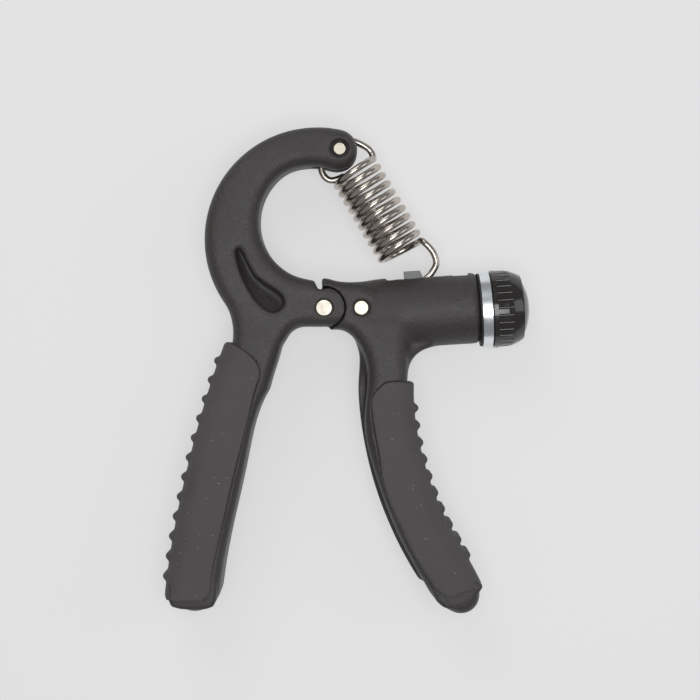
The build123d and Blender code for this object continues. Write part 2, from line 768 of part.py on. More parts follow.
screw_end_block.part.label = "screw_end_block"
export_step(screw_end_block.part, "parts/screw_end_block.step")
slider_block.part.label = "slider_block"
export_step(slider_block.part, "parts/slider_block.step")
hook_pin.part.label = "hook_pin"
export_step(hook_pin.part, "parts/hook_pin.step")
slider_nut.part.label = "slider_nut"
export_step(slider_nut.part, "parts/slider_nut.step")
adjusting_screw.part.label = "adjusting_screw"
export_step(adjusting_screw.part, "parts/adjusting_screw.step")
screw_clip.part.label = "screw_clip"
export_step(screw_clip.part, "parts/screw_clip.step")
end_collar.part.label = "end_collar"
export_step(end_collar.part, "parts/end_collar.step")
collar_gasket.part.label = "collar_gasket"
export_step(collar_gasket.part, "parts/collar_gasket.step")
thrust_washer.part.label = "thrust_washer"
export_step(thrust_washer.part, "parts/thrust_washer.step")
adjusting_knob.part.label = "adjusting_knob"
export_step(adjusting_knob.part, "parts/adjusting_knob.step")
knob_nut.part.label = "knob_nut"
export_step(knob_nut.part, "parts/knob_nut.step")
knob_cap.part.label = "knob_cap"
export_step(knob_cap.part, "parts/knob_cap.step")
spring_coil.part.label = "spring_coil"
export_step(spring_coil.part, "parts/spring_coil.step")
spring_top_loop.part.label = "spring_top_loop"
export_step(spring_top_loop.part, "parts/spring_top_loop.step")
spring_hook.part.label = "spring_hook"
export_step(spring_hook.part, "parts/spring_hook.step")
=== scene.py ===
"""Adjustable hand grip strengthener: the visible pieces, their finishes and the studio."""

import json
from math import cos, pi, radians, sin

import bmesh
import bpy
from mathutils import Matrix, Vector


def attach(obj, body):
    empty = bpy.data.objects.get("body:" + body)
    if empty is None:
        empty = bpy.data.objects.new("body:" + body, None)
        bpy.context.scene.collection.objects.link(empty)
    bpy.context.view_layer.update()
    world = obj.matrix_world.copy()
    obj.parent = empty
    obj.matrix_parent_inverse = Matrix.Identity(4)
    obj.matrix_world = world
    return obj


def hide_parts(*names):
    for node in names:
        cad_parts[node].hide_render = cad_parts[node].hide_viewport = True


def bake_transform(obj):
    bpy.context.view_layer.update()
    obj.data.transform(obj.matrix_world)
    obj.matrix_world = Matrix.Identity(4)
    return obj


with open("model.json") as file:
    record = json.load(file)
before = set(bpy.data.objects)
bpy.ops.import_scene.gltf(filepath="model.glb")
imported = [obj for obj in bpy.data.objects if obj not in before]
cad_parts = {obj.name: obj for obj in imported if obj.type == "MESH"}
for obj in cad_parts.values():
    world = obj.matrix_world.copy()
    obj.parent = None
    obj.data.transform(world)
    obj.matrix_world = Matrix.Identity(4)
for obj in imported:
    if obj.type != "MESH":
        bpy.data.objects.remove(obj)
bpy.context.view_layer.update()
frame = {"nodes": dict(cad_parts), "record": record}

bl_info = {
    "name": "Hand grip strengthener",
    "version": (1, 0, 0),
    "blender": (4, 5, 0),
    "location": "3D View > Sidebar > Hand grip",
    "description": "Builds the visible pieces of an adjustable hand grip strengthener",
    "category": "Object",
}

MM = 0.001
JOINTS = {j["name"]: j for j in frame["record"]["behaviour"]["joints"]}
PIVOT = Vector(JOINTS["squeeze"]["pos_m"])
SCREW_FOOT = Vector(JOINTS["knob_turn"]["pos_m"])
SCREW_WAY = Vector(JOINTS["knob_turn"]["axis"]).normalized()
SCREW_UP = Vector((-SCREW_WAY.y, SCREW_WAY.x, 0))
FRONT = Vector((0, 0, 1))

# Millimetres, from the pivot
ANCHOR_RIVET = (12.2, 0)
SPRING_PIN = (5.1, 52.5)


def from_pivot(x, y, z=0.0):
    """A point in the row frame from its millimetres right of, above and in front of the pivot."""
    return PIVOT + Vector((x, y, z)) * MM


def from_screw(along, up, out=0.0):
    """A point in the row frame from its millimetres along, above and in front of the screw."""
    return SCREW_FOOT + (SCREW_WAY * along + SCREW_UP * up + FRONT * out) * MM


# Sizes and colours ------------------------------------------------------------------------------


def colour(name, description, value):
    """A colour that a user can change."""
    return bpy.props.FloatVectorProperty(
        name=name, description=description, subtype="COLOR", size=4, min=0, max=1, default=(*value, 1)
    )


def length(name, description, value):
    """A length that a user can change, in metres."""
    return bpy.props.FloatProperty(
        name=name, description=description, subtype="DISTANCE", unit="LENGTH", min=0, default=value
    )


class HandGripColours(bpy.types.PropertyGroup):
    """Base colours of the pieces and the floor"""

    body: colour("Body", "Plastic of the two handles", (0.034, 0.031, 0.030))
    grip: colour("Grips", "Soft rubber of the grips", (0.078, 0.072, 0.073))
    knob: colour("Knob", "Glossy plastic of the knob", (0.016, 0.014, 0.013))
    slider: colour("Slider", "Plastic of the slider", (0.17, 0.18, 0.175))
    spring: colour("Spring", "Dark nickel of the spring", (0.58, 0.53, 0.48))
    collar: colour("Collar", "Bright zinc of the collar", (0.82, 0.87, 0.90))
    rivet: colour("Rivets", "Nickelled steel of the rivets", (0.50, 0.47, 0.40))
    floor: colour("Floor", "Pale studio floor", (0.30, 0.30, 0.30))


class HandGripSizes(bpy.types.PropertyGroup):
    """Detail of the moulded pieces, and sizes of the spring and the screw"""

    body_voxel: length("Body detail", "Voxel size of the moulded bodies", 0.00055)
    grip_voxel: length("Grip detail", "Voxel size of the soft grips", 0.00045)
    wire: length("Spring wire", "Radius of the spring wire", 0.00113)
    coil: length("Coil radius", "Mean radius of the spring's coils", 0.00753)
    pitch: length("Coil pitch", "Distance from one coil to the next", 0.00317)
    thread: length("Thread pitch", "Distance from one screw thread to the next", 0.0015)


# Shader effects used by more than one finish ------------------------------------------------------


def new_group(name, inputs, outputs):
    """An empty shader group with named float inputs and outputs."""
    group = bpy.data.node_groups.new(name, "ShaderNodeTree")
    for label, value in inputs:
        socket = group.interface.new_socket(label, in_out="INPUT", socket_type="NodeSocketFloat")
        socket.default_value = value
    for label in outputs:
        group.interface.new_socket(label, in_out="OUTPUT", socket_type="NodeSocketFloat")
    return group, group.nodes.new("NodeGroupInput"), group.nodes.new("NodeGroupOutput")


def link(tree, *pairs):
    """Links each pair of sockets."""
    for a, b in pairs:
        tree.links.new(a, b)


def arithmetic(tree, operation, a, b):
    """A maths node on two sockets or numbers; gives its output."""
    n = tree.nodes.new("ShaderNodeMath")
    n.operation = operation
    for i, value in enumerate((a, b)):
        if isinstance(value, (int, float)):
            n.inputs[i].default_value = value
        else:
            tree.links.new(value, n.inputs[i])
    return n.outputs[0]


def span(tree, value, low, high, to_low=0.0, to_high=1.0):
    """Maps a socket's value smoothly from one range to another."""
    n = tree.nodes.new("ShaderNodeMapRange")
    n.interpolation_type = "SMOOTHSTEP"
    tree.links.new(value, n.inputs[0])
    for i, v in enumerate((low, high, to_low, to_high)):
        n.inputs[i + 1].default_value = v
    return n.outputs[0]


def noise(tree, where, scale, detail=2.0, roughness=0.5):
    """Noise over a position; the scale is a socket or a number."""
    n = tree.nodes.new("ShaderNodeTexNoise")
    tree.links.new(where, n.inputs["Vector"])
    if isinstance(scale, (int, float)):
        n.inputs["Scale"].default_value = scale
    else:
        tree.links.new(scale, n.inputs["Scale"])
    n.inputs["Detail"].default_value = detail
    n.inputs["Roughness"].default_value = roughness
    return n.outputs[0]


def grain_group(name):
    """Moulded grain: a fine pebbled height, and slow patches of slightly duller plastic."""
    g, i, o = new_group(name, [("Scale", 1500.0), ("Patch scale", 60.0)], ["Height", "Patches"])
    where = place_of(g)
    pebble = noise(g, where, i.outputs["Scale"], 3.0, 0.6)
    coarse = noise(g, where, arithmetic(g, "MULTIPLY", i.outputs["Scale"], 0.42), 1.0)
    height = arithmetic(g, "ADD", span(g, pebble, 0.32, 0.68), arithmetic(g, "MULTIPLY", coarse, 0.6))
    patches = span(g, noise(g, where, i.outputs["Patch scale"], 3.0), 0.3, 0.7)
    link(g, (height, o.inputs["Height"]), (patches, o.inputs["Patches"]))


def wear_and_painted_light_group(name):
    """Masks of the convex edges that handling rubs, also used to paint highlights on them, and of the
    hollows, used to paint shade into them.
    """
    g, i, o = new_group(name, [("Edge", 0.54), ("Hollow", 0.46)], ["Edges", "Hollows"])
    geometry = g.nodes.new("ShaderNodeNewGeometry")
    where = place_of(g)
    patchy = noise(g, where, 420.0, 4.0, 0.6)
    edge = g.nodes.new("ShaderNodeMapRange")
    link(g, (geometry.outputs["Pointiness"], edge.inputs[0]), (i.outputs["Edge"], edge.inputs[1]))
    edge.inputs[2].default_value = 0.60
    hollow = g.nodes.new("ShaderNodeMapRange")
    link(g, (geometry.outputs["Pointiness"], hollow.inputs[0]), (i.outputs["Hollow"], hollow.inputs[1]))
    hollow.inputs[2].default_value = 0.40
    # The patchy edge mask serves rubbed wear and painted highlights; the hollow mask serves painted shade.
    patchy_edges = arithmetic(g, "MULTIPLY", edge.outputs[0], span(g, patchy, 0.35, 0.65))
    link(g, (patchy_edges, o.inputs["Edges"]), (hollow.outputs[0], o.inputs["Hollows"]))


def specks_group(name):
    """Scattered specks of dust and lint, by size and how many there are."""
    g, i, o = new_group(name, [("Scale", 700.0), ("Size", 0.16), ("Cover", 0.6)], ["Mask"])
    where = place_of(g)
    cells = g.nodes.new("ShaderNodeTexVoronoi")
    link(g, (where, cells.inputs["Vector"]), (i.outputs["Scale"], cells.inputs["Scale"]))
    dot = arithmetic(g, "LESS_THAN", cells.outputs["Distance"], i.outputs["Size"])
    patch = arithmetic(g, "GREATER_THAN", noise(g, where, 300.0, 2.0), i.outputs["Cover"])
    link(g, (arithmetic(g, "MULTIPLY", dot, patch), o.inputs["Mask"]))


def scratches_group(name):
    """Fine scratches and brushing that run one way, as a height."""
    g, i, o = new_group(name, [("Along", 60.0), ("Across", 2600.0)], ["Height"])
    where = place_of(g)
    stretch = g.nodes.new("ShaderNodeCombineXYZ")
    link(g, (i.outputs["Along"], stretch.inputs[0]))
    link(g, *((i.outputs["Across"], stretch.inputs[k]) for k in (1, 2)))
    scaled = g.nodes.new("ShaderNodeVectorMath")
    scaled.operation = "MULTIPLY"
    link(g, (where, scaled.inputs[0]), (stretch.outputs[0], scaled.inputs[1]))
    link(g, (noise(g, scaled.outputs[0], 1.0, 2.0, 0.6), o.inputs["Height"]))


EFFECTS = {
    "Moulded grain": grain_group,
    "Edges and hollows": wear_and_painted_light_group,
    "Specks": specks_group,
    "Fine scratches": scratches_group,
}


def effect(tree, name, **values):
    """Places a shared effect in a material, building it the first time it is used."""
    if name not in bpy.data.node_groups:
        EFFECTS[name](name)
    n = tree.nodes.new("ShaderNodeGroup")
    n.node_tree = bpy.data.node_groups[name]
    for label, value in values.items():
        n.inputs[label.replace("_", " ")].default_value = value
    return n


def mix(tree, amount, a, b):
    """Mixes two colours by a mask; each is a colour or a socket."""
    n = tree.nodes.new("ShaderNodeMix")
    n.data_type = "RGBA"
    tree.links.new(amount, n.inputs[0])
    for socket, value in ((n.inputs[6], a), (n.inputs[7], b)):
        if hasattr(value, "is_linked"):
            tree.links.new(value, socket)
        else:
            socket.default_value = value
    return n.outputs[2]


def shade(rgba, factor):
    """A colour made lighter or darker."""
    return (rgba[0] * factor, rgba[1] * factor, rgba[2] * factor, 1)


def finish(name):
    """An empty material with its Principled shader and output."""
    m = bpy.data.materials.new(name)
    m.use_nodes = True
    shader = m.node_tree.nodes["Principled BSDF"]
    return m, m.node_tree, shader


def place_of(tree):
    """The position that every pattern is laid out by."""
    return tree.nodes.new("ShaderNodeTexCoord").outputs["Object"]


def paint(tree, shader, base, rough):
    """Gives a shader its colour and its roughness."""
    link(tree, (base, shader.inputs["Base Color"]), (rough, shader.inputs["Roughness"]))


def overlay(tree, base, mask, share, tint):
    """Lays a colour over another where a mask says, up to a share."""
    return mix(tree, arithmetic(tree, "MULTIPLY", mask, share), base, tint)


def bump(tree, shader, height, distance, strength):
    """Raises a shader's surface by a height; the distance is in metres."""
    n = tree.nodes.new("ShaderNodeBump")
    n.inputs["Distance"].default_value = distance
    n.inputs["Strength"].default_value = strength
    link(tree, (height, n.inputs["Height"]), (n.outputs[0], shader.inputs["Normal"]))


# Finishes -----------------------------------------------------------------------------------------


def body_plastic(colours):
    """Nearly black moulded plastic with a fine pebbled grain."""
    m, t, s = finish("Body plastic")
    grain = effect(t, "Moulded grain", Scale=1500.0, Patch_scale=70.0)
    wear_and_painted_light = effect(t, "Edges and hollows", Edge=0.53, Hollow=0.47)
    specks = effect(t, "Specks", Scale=900.0, Size=0.13, Cover=0.62)
    base = mix(t, grain.outputs["Height"], shade(colours.body, 0.82), shade(colours.body, 1.22))
    # Painted highlight with rubbed wear: the convex edges are lightened to 2.2 times the body colour.
    base = overlay(t, base, wear_and_painted_light.outputs["Edges"], 0.35, shade(colours.body, 2.2))
    base = overlay(t, base, specks.outputs["Mask"], 0.30, (0.30, 0.29, 0.27, 1))
    patchy_edges = arithmetic(t, "MULTIPLY", wear_and_painted_light.outputs["Edges"], -0.08)
    rough = arithmetic(t, "ADD", span(t, grain.outputs["Patches"], 0.0, 1.0, 0.44, 0.52), patchy_edges)
    paint(t, s, base, rough)
    bump(t, s, grain.outputs["Height"], 0.00009, 0.75)
    return m


def grip_rubber(colours):
    """Soft dark grey rubber, dull, with lint on it."""
    m, t, s = finish("Grip rubber")
    grain = effect(t, "Moulded grain", Scale=2600.0, Patch_scale=45.0)
    wear_and_painted_light = effect(t, "Edges and hollows", Edge=0.54, Hollow=0.47)
    specks = effect(t, "Specks", Scale=620.0, Size=0.14, Cover=0.60)
    base = mix(t, grain.outputs["Patches"], shade(colours.grip, 0.90), shade(colours.grip, 1.08))
    # Painted shade: the hollows are darkened to 0.45 of the grip colour.
    base = overlay(t, base, wear_and_painted_light.outputs["Hollows"], 0.30, shade(colours.grip, 0.45))
    base = overlay(t, base, specks.outputs["Mask"], 0.40, (0.42, 0.40, 0.39, 1))
    paint(t, s, base, span(t, grain.outputs["Patches"], 0.0, 1.0, 0.66, 0.76))
    bump(t, s, grain.outputs["Height"], 0.00005, 0.6)
    s.inputs["Specular IOR Level"].default_value = 0.35
    return m


def gloss_plastic(colours):
    """Polished black plastic with faint moulding waves and fingermarks."""
    m, t, s = finish("Knob plastic")
    where = place_of(t)
    wear_and_painted_light = effect(t, "Edges and hollows", Edge=0.55, Hollow=0.46)
    specks = effect(t, "Specks", Scale=800.0, Size=0.09, Cover=0.64)
    smudge = span(t, noise(t, where, 160.0, 4.0, 0.6), 0.40, 0.68, 0.12, 0.26)
    # Painted highlight with rubbed wear: the convex edges are lightened to 2.6 times the knob colour.
    base = overlay(t, shade(colours.knob, 1.0), wear_and_painted_light.outputs["Edges"], 0.5, shade(colours.knob, 2.6))
    base = overlay(t, base, specks.outputs["Mask"], 0.25, (0.3, 0.29, 0.28, 1))
    paint(t, s, base, smudge)
    bump(t, s, noise(t, where, 240.0, 1.0), 0.00004, 0.5)
    s.inputs["Coat Weight"].default_value = 0.3
    s.inputs["Coat Roughness"].default_value = 0.06
    return m


def slider_plastic(colours):
    """Mid-grey satin plastic."""
    m, t, s = finish("Slider plastic")
    grain = effect(t, "Moulded grain", Scale=2200.0, Patch_scale=120.0)
    base = mix(t, grain.outputs["Patches"], shade(colours.slider, 0.85), shade(colours.slider, 1.12))
    paint(t, s, base, span(t, grain.outputs["Patches"], 0.0, 1.0, 0.40, 0.52))
    bump(t, s, grain.outputs["Height"], 0.00004, 0.5)
    return m


def bright_metal(name, tint, low, high, along, across, depth, stain):
    """Plated metal: working marks, cloudy plating between two roughnesses, and painted shade darkening its
    hollows.
    """
    m, t, s = finish(name)
    where = place_of(t)
    marks = effect(t, "Fine scratches", Along=along, Across=across)
    wear_and_painted_light = effect(t, "Edges and hollows", Edge=0.55, Hollow=0.46)
    cloud = noise(t, where, 220.0, 4.0, 0.6)
    base = mix(t, span(t, cloud, 0.35, 0.7), shade(tint, 1.0), shade(tint, stain))
    # Painted shade: the hollows are darkened to 0.35 of the tint.
    base = overlay(t, base, wear_and_painted_light.outputs["Hollows"], 0.55, shade(tint, 0.35))
    paint(t, s, base, span(t, cloud, 0.3, 0.7, low, high))
    s.inputs["Metallic"].default_value = 1.0
    bump(t, s, marks.outputs["Height"], depth, 0.5)
    return m


def spring_nickel(colours):
    """Dark bright nickel."""
    return bright_metal("Spring nickel", colours.spring, 0.16, 0.26, 900.0, 900.0, 0.00003, 0.72)


def collar_zinc(colours):
    """Bright zinc, turned on a lathe."""
    return bright_metal("Collar zinc", colours.collar, 0.20, 0.32, 1800.0, 90.0, 0.00002, 0.88)


def rivet_steel(colours):
    """Nickelled steel, a little dull."""
    return bright_metal("Rivet steel", colours.rivet, 0.34, 0.46, 700.0, 700.0, 0.00003, 0.85)


def screw_steel(colours):
    """Plain steel of the screw and its washers."""
    return bright_metal("Screw steel", shade(colours.collar, 0.8), 0.26, 0.40, 900.0, 900.0, 0.00003, 0.8)


def brass_nut(_):
    """Brass of the nut in the slider."""
    return bright_metal("Brass nut", (0.71, 0.53, 0.26, 1), 0.24, 0.36, 900.0, 900.0, 0.00003, 0.8)


def gasket_rubber(_):
    """Black rubber of the gasket."""
    m, t, s = finish("Gasket rubber")
    grain = effect(t, "Moulded grain", Scale=2600.0, Patch_scale=90.0)
    base = mix(t, grain.outputs["Patches"], (0.012, 0.012, 0.012, 1), (0.022, 0.021, 0.021, 1))
    paint(t, s, base, span(t, grain.outputs["Patches"], 0.0, 1.0, 0.55, 0.7))
    bump(t, s, grain.outputs["Height"], 0.00003, 0.5)
    return m


def bush_plastic(_):
    """Pale slippery plastic of the bush and the roller."""
    m, t, s = finish("Bush plastic")
    grain = effect(t, "Moulded grain", Scale=2400.0, Patch_scale=150.0)
    base = mix(t, grain.outputs["Patches"], (0.52, 0.51, 0.47, 1), (0.63, 0.62, 0.58, 1))
    paint(t, s, base, span(t, grain.outputs["Patches"], 0.0, 1.0, 0.34, 0.46))
    bump(t, s, grain.outputs["Height"], 0.00003, 0.4)
    return m


FINISHES = {
    "body_plastic": body_plastic,
    "grip_rubber": grip_rubber,
    "knob_plastic": gloss_plastic,
    "slider_plastic": slider_plastic,
    "spring_nickel": spring_nickel,
    "collar_zinc": collar_zinc,
    "rivet_steel": rivet_steel,
    "screw_steel": screw_steel,
    "brass_nut": brass_nut,
    "gasket_rubber": gasket_rubber,
    "bush_plastic": bush_plastic,
}
made_finishes = {}


def material(name):
    """The finished material for one of the record's material slots."""
    if name not in made_finishes:
        made_finishes[name] = FINISHES[name](bpy.context.scene.hand_grip_colours)
    return made_finishes[name]


# Meshes -------------------------------------------------------------------------------------------


def new_piece(name, mesh, slot, body=None, stands_for=()):
    """Puts a mesh in the scene with its finish, riding on a body and standing for CAD nodes."""
    piece = bpy.data.objects.new(name, mesh)
    bpy.context.scene.collection.objects.link(piece)
    mesh.materials.clear()
    mesh.materials.append(material(slot))
    if body:
        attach(piece, body)
    if stands_for:
        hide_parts(*stands_for)
    return piece


def apply_modifiers(piece):
    """Replaces the piece's mesh by what its modifiers give."""
    graph = bpy.context.evaluated_depsgraph_get()
    mesh = bpy.data.meshes.new_from_object(piece.evaluated_get(graph))
    piece.modifiers.clear()
    old = piece.data
    piece.data = mesh
    bpy.data.meshes.remove(old)


def add_block(mesh, outline, half):
    """Adds a closed block to a mesh: an outline facing the front, with half its thickness."""
    build = bmesh.new()
    build.from_mesh(mesh)
    front = [build.verts.new(p + FRONT * half * MM) for p in outline]
    back = [build.verts.new(p - FRONT * half * MM) for p in outline]
    faces = [build.faces.new(front), build.faces.new(back[::-1])]
    for k in range(len(outline)):
        m = (k + 1) % len(outline)
        faces.append(build.faces.new((front[k], back[k], back[m], front[m])))
    bmesh.ops.recalc_face_normals(build, faces=faces)
    build.to_mesh(mesh)
    build.free()


def trim(mesh, corner, way):
    """Cuts a closed mesh off square past a point, and closes the cut."""
    build = bmesh.new()
    build.from_mesh(mesh)
    every = build.verts[:] + build.edges[:] + build.faces[:]
    cut = bmesh.ops.bisect_plane(build, geom=every, plane_co=corner, plane_no=way, clear_outer=True)
    edges = [e for e in cut["geom_cut"] if isinstance(e, bmesh.types.BMEdge)]
    bmesh.ops.triangle_fill(build, edges=edges, use_beauty=True)
    bmesh.ops.recalc_face_normals(build, faces=build.faces)
    build.to_mesh(mesh)
    build.free()


def remeshed(name, source, voxel, blocks=()):
    """A voxel copy of a CAD node's mesh with blocks added, for shapes that blend into each other."""
    piece = bpy.data.objects.new(name, source.data.copy())
    bpy.context.scene.collection.objects.link(piece)
    for outline, half in blocks:
        add_block(piece.data, outline, half)
    remesh = piece.modifiers.new("Remesh", "REMESH")
    remesh.mode = "VOXEL"
    remesh.voxel_size = voxel
    remesh.use_smooth_shade = True
    apply_modifiers(piece)
    return piece


def relax(piece, rounds, weight=None):
    """Smooths a mesh, by a weight between nought and one at each vertex if there is one."""
    smooth = piece.modifiers.new("Smooth", "SMOOTH")
    smooth.factor = 0.5
    smooth.iterations = rounds
    if weight:
        group = piece.vertex_groups.new(name="Relax")
        for v in piece.data.vertices:
            group.add([v.index], weight(v.co), "REPLACE")
        smooth.vertex_group = "Relax"
    apply_modifiers(piece)
    piece.vertex_groups.clear()


def ramp(value, low, high):
    """Smooth step from nought at low to one at high."""
    t = min(max((value - low) / (high - low), 0.0), 1.0)
    return t * t * (3 - 2 * t)


def above_pivot(point):
    """Millimetres that a point lies above the pivot."""
    return (point.y - PIVOT.y) / MM


def flat_distance(point, centre):
    """Distance in millimetres between two points seen from the front."""
    return Vector((point.x - centre.x, point.y - centre.y)).length / MM


def beside(point, a, b):
    """Millimetres from a point to a stretch seen from the front: distance, and how far to its left."""
    way = Vector((b.x - a.x, b.y - a.y))
    to = Vector((point.x - a.x, point.y - a.y))
    t = min(max(to.dot(way) / way.length_squared, 0.0), 1.0)
    away = to - way * t
    return away.length / MM, (way.x * to.y - way.y * to.x) / way.length / MM


def skin(build, rings):
    """Joins a row of rings of vertices with faces."""
    count = len(rings[0])
    for a, b in zip(rings, rings[1:]):
        for k in range(count):
            build.faces.new((a[k], a[(k + 1) % count], b[(k + 1) % count], b[k]))


def smooth_path(points, steps):
    """A smooth curve through points, as a list of closely spaced points."""
    ends = [2 * points[0] - points[1]] + points + [2 * points[-1] - points[-2]]
    path = []
    for a, b, c, d in zip(ends, ends[1:], ends[2:], ends[3:]):
        for k in range(steps):
            t = k / steps
            bend = 2 * a - 5 * b + 4 * c - d
            twist = 3 * b - a - 3 * c + d
            path.append(0.5 * (2 * b + (c - a) * t + bend * t * t + twist * t**3))
    return path + [points[-1]]


def tube(path, radius, sides, open_ends=(False, False)):
    """A round wire mesh along a path, with rounded ends where it isn't left open."""
    mesh = bpy.data.meshes.new("Wire")
    build = bmesh.new()
    normal = None
    rings = []
    stations = []
    for i, p in enumerate(path):
        ahead = path[min(i + 1, len(path) - 1)]
        stations.append((p, (ahead - path[max(i - 1, 0)]).normalized(), radius))
    for at, end in ((0, 0), (-1, 1)):
        if not open_ends[end]:
            p, t, _ = stations[at]
            out = -t if end == 0 else t
            caps = [(p + out * radius * 0.55 * sin(a), t, radius * cos(a)) for a in (0.5, 0.95, 1.3)]
            stations = caps[::-1] + stations if end == 0 else stations + caps
    for p, t, r in stations:
        if normal is None:
            normal = t.orthogonal().normalized()
        normal = (normal - t * normal.dot(t)).normalized()
        side = t.cross(normal)
        turn = [2 * pi * k / sides for k in range(sides)]
        rings.append([build.verts.new(p + (normal * cos(a) + side * sin(a)) * r) for a in turn])
    skin(build, rings)
    build.faces.new(rings[0][::-1])
    build.faces.new(rings[-1])
    bmesh.ops.recalc_face_normals(build, faces=build.faces)
    for f in build.faces:
        f.smooth = True
    build.to_mesh(mesh)
    build.free()
    return mesh


# Operators ----------------------------------------------------------------------------------------


def square_toe(outline):
    """A block that squares off a handle's rounded end, a little thinner than the handle."""
    half_thickness = 11.6
    return [from_pivot(*p) for p in outline], half_thickness


def finish_moulding(piece, name, slot, body, stands_for):
    """Turns a worked copy of a CAD node into the piece that stands for it."""
    new_piece(name, piece.data, slot, body, [stands_for])
    bpy.data.objects.remove(piece)


class HANDGRIP_OT_arm(bpy.types.Operator):
    """Build the left handle with its spring arm"""

    bl_idname = "handgrip.arm"
    bl_label = "Left handle and spring arm"

    def execute(self, context):
        sizes = context.scene.hand_grip_sizes
        toe = [(-50.8, -89.8), (-51.1, -95.2), (-49.9, -97.8), (-46.6, -98.6), (-39.7, -98.8)]
        toe += [(-36.1, -97.8), (-35.0, -94.9), (-35.4, -89.8)]
        blocks = [square_toe(toe)]
        piece = remeshed("arm_moulding", frame["nodes"]["arm_handle"], sizes.body_voxel, blocks)
        tip = from_pivot(*SPRING_PIN)
        crisp_at_pivot, crisp_at_tip = 8.5, 7.5

        def softness(p):
            """How far the moulding is rounded: not at the rivets or the grip, a little at the toe."""
            near = min(flat_distance(p, PIVOT) - crisp_at_pivot, flat_distance(p, tip) - crisp_at_tip)
            arm = ramp(near, 0.0, 5.0) * ramp(above_pivot(p), -15.0, -5.0)
            return max(arm, 0.7 * ramp(-above_pivot(p), 90.0, 93.0))

        # The handle leaves the hub in a straight line on its inner side
        bulge_height, bulge_middle, bulge_reach = 2.1, -18.8, 8.5
        for v in piece.data.vertices:
            right = (v.co.x - PIVOT.x) / MM
            bulge = max(0.0, 1 - ((above_pivot(v.co) - bulge_middle) / bulge_reach) ** 2)
            v.co.x -= bulge_height * bulge * ramp(right, -23.0, -14.5) * MM

        # The hollow's floor falls from its outer side to its inner side
        spine = [from_pivot(*p) for p in ((-28.7, 19.5), (-25.9, 10.4), (-21.3, 4.2), (-16.0, 0.9))]
        floor_low, floor_high, reach = 19.4, 22.4, 6.5
        for v in piece.data.vertices:
            if floor_low < v.co.z / MM < floor_high:
                offsets = (beside(v.co, a, b) for a, b in zip(spine, spine[1:]))
                distance, inward = min(offsets, key=lambda offset: offset[0])
                if distance < reach:
                    v.co.z += (1.5 - 3.6 * ramp(inward, -3.2, 2.8)) * MM

        relax(piece, 3)
        relax(piece, 20, softness)
        finish_moulding(piece, "arm_body", "body_plastic", "arm", "arm_handle")
        return {"FINISHED"}


class HANDGRIP_OT_barrel(bpy.types.Operator):
    """Build the right handle with its barrel"""

    bl_idname = "handgrip.barrel"
    bl_label = "Right handle and barrel"

    def execute(self, context):
        sizes = context.scene.hand_grip_sizes
        # The hub's top carries on level with the barrel's top
        crown = [(4.3, 10.3), (8.5, 7.0), (15.0, 7.0), (15.0, 11.9), (4.3, 11.9)]
        crown_block = ([from_screw(*p) for p in crown], 6.4)
        toe = [(44.4, -88.8), (50.5, -89.6), (52.3, -90.7), (51.4, -92.3), (46.9, -96.7)]
        toe += [(43.0, -98.6), (39.3, -98.2), (36.7, -96.0), (34.6, -90.3)]
        blocks = [crown_block, square_toe(toe)]
        piece = remeshed("barrel_moulding", frame["nodes"]["barrel_handle"], sizes.body_voxel, blocks)
        anchor = from_pivot(*ANCHOR_RIVET)
        barrel_rise = 0.8
        crisp_at_pivot, crisp_at_anchor = 8.5, 4.5

        def softness(p):
            """How far the moulding is rounded: not at the rivets, slot or grip, a little at the ends."""
            near = min(flat_distance(p, PIVOT) - crisp_at_pivot, flat_distance(p, anchor) - crisp_at_anchor)
            local = p - SCREW_FOOT
            along = local.dot(SCREW_WAY) / MM
            up = local.dot(SCREW_UP) / MM
            out = Vector((up - barrel_rise, local.z / MM)).length
            off_slot = max(ramp(4.0 - up, 0.0, 4.0), ramp(20.0 - along, 0.0, 4.0))
            barrel = ramp(47.0 - along, 0.0, 3.0) * off_slot
            hub = ramp(near, 0.0, 4.0) * ramp(above_pivot(p), -28.0, -20.0)
            rim = 0.45 * ramp(along, 48.0, 50.0) * ramp(out, 10.6, 11.4)
            return max(hub * barrel, rim, 0.4 * ramp(-above_pivot(p), 86.0, 91.0))

        relax(piece, 3)
        relax(piece, 40, softness)
        finish_moulding(piece, "barrel_body", "body_plastic", "barrel", "barrel_handle")
        return {"FINISHED"}


class HANDGRIP_OT_grips(bpy.types.Operator):
    """Build the two soft grips with their ridges"""

    bl_idname = "handgrip.grips"
    bl_label = "Soft grips"

    def execute(self, context):
        sizes = context.scene.hand_grip_sizes
        for node_name, body, corner, way in (
            ("arm_grip", "arm", (-44, -95.7), (0, -1, 0)),
            ("barrel_grip", "barrel", (44.3, -95.8), (0.583, -0.812, 0)),
        ):
            piece = remeshed(node_name + "_soft", frame["nodes"][node_name], sizes.grip_voxel)
            trim(piece.data, from_pivot(*corner), Vector(way))
            relax(piece, 5)
            finish_moulding(piece, node_name + "_cover", "grip_rubber", body, node_name)
        return {"FINISHED"}


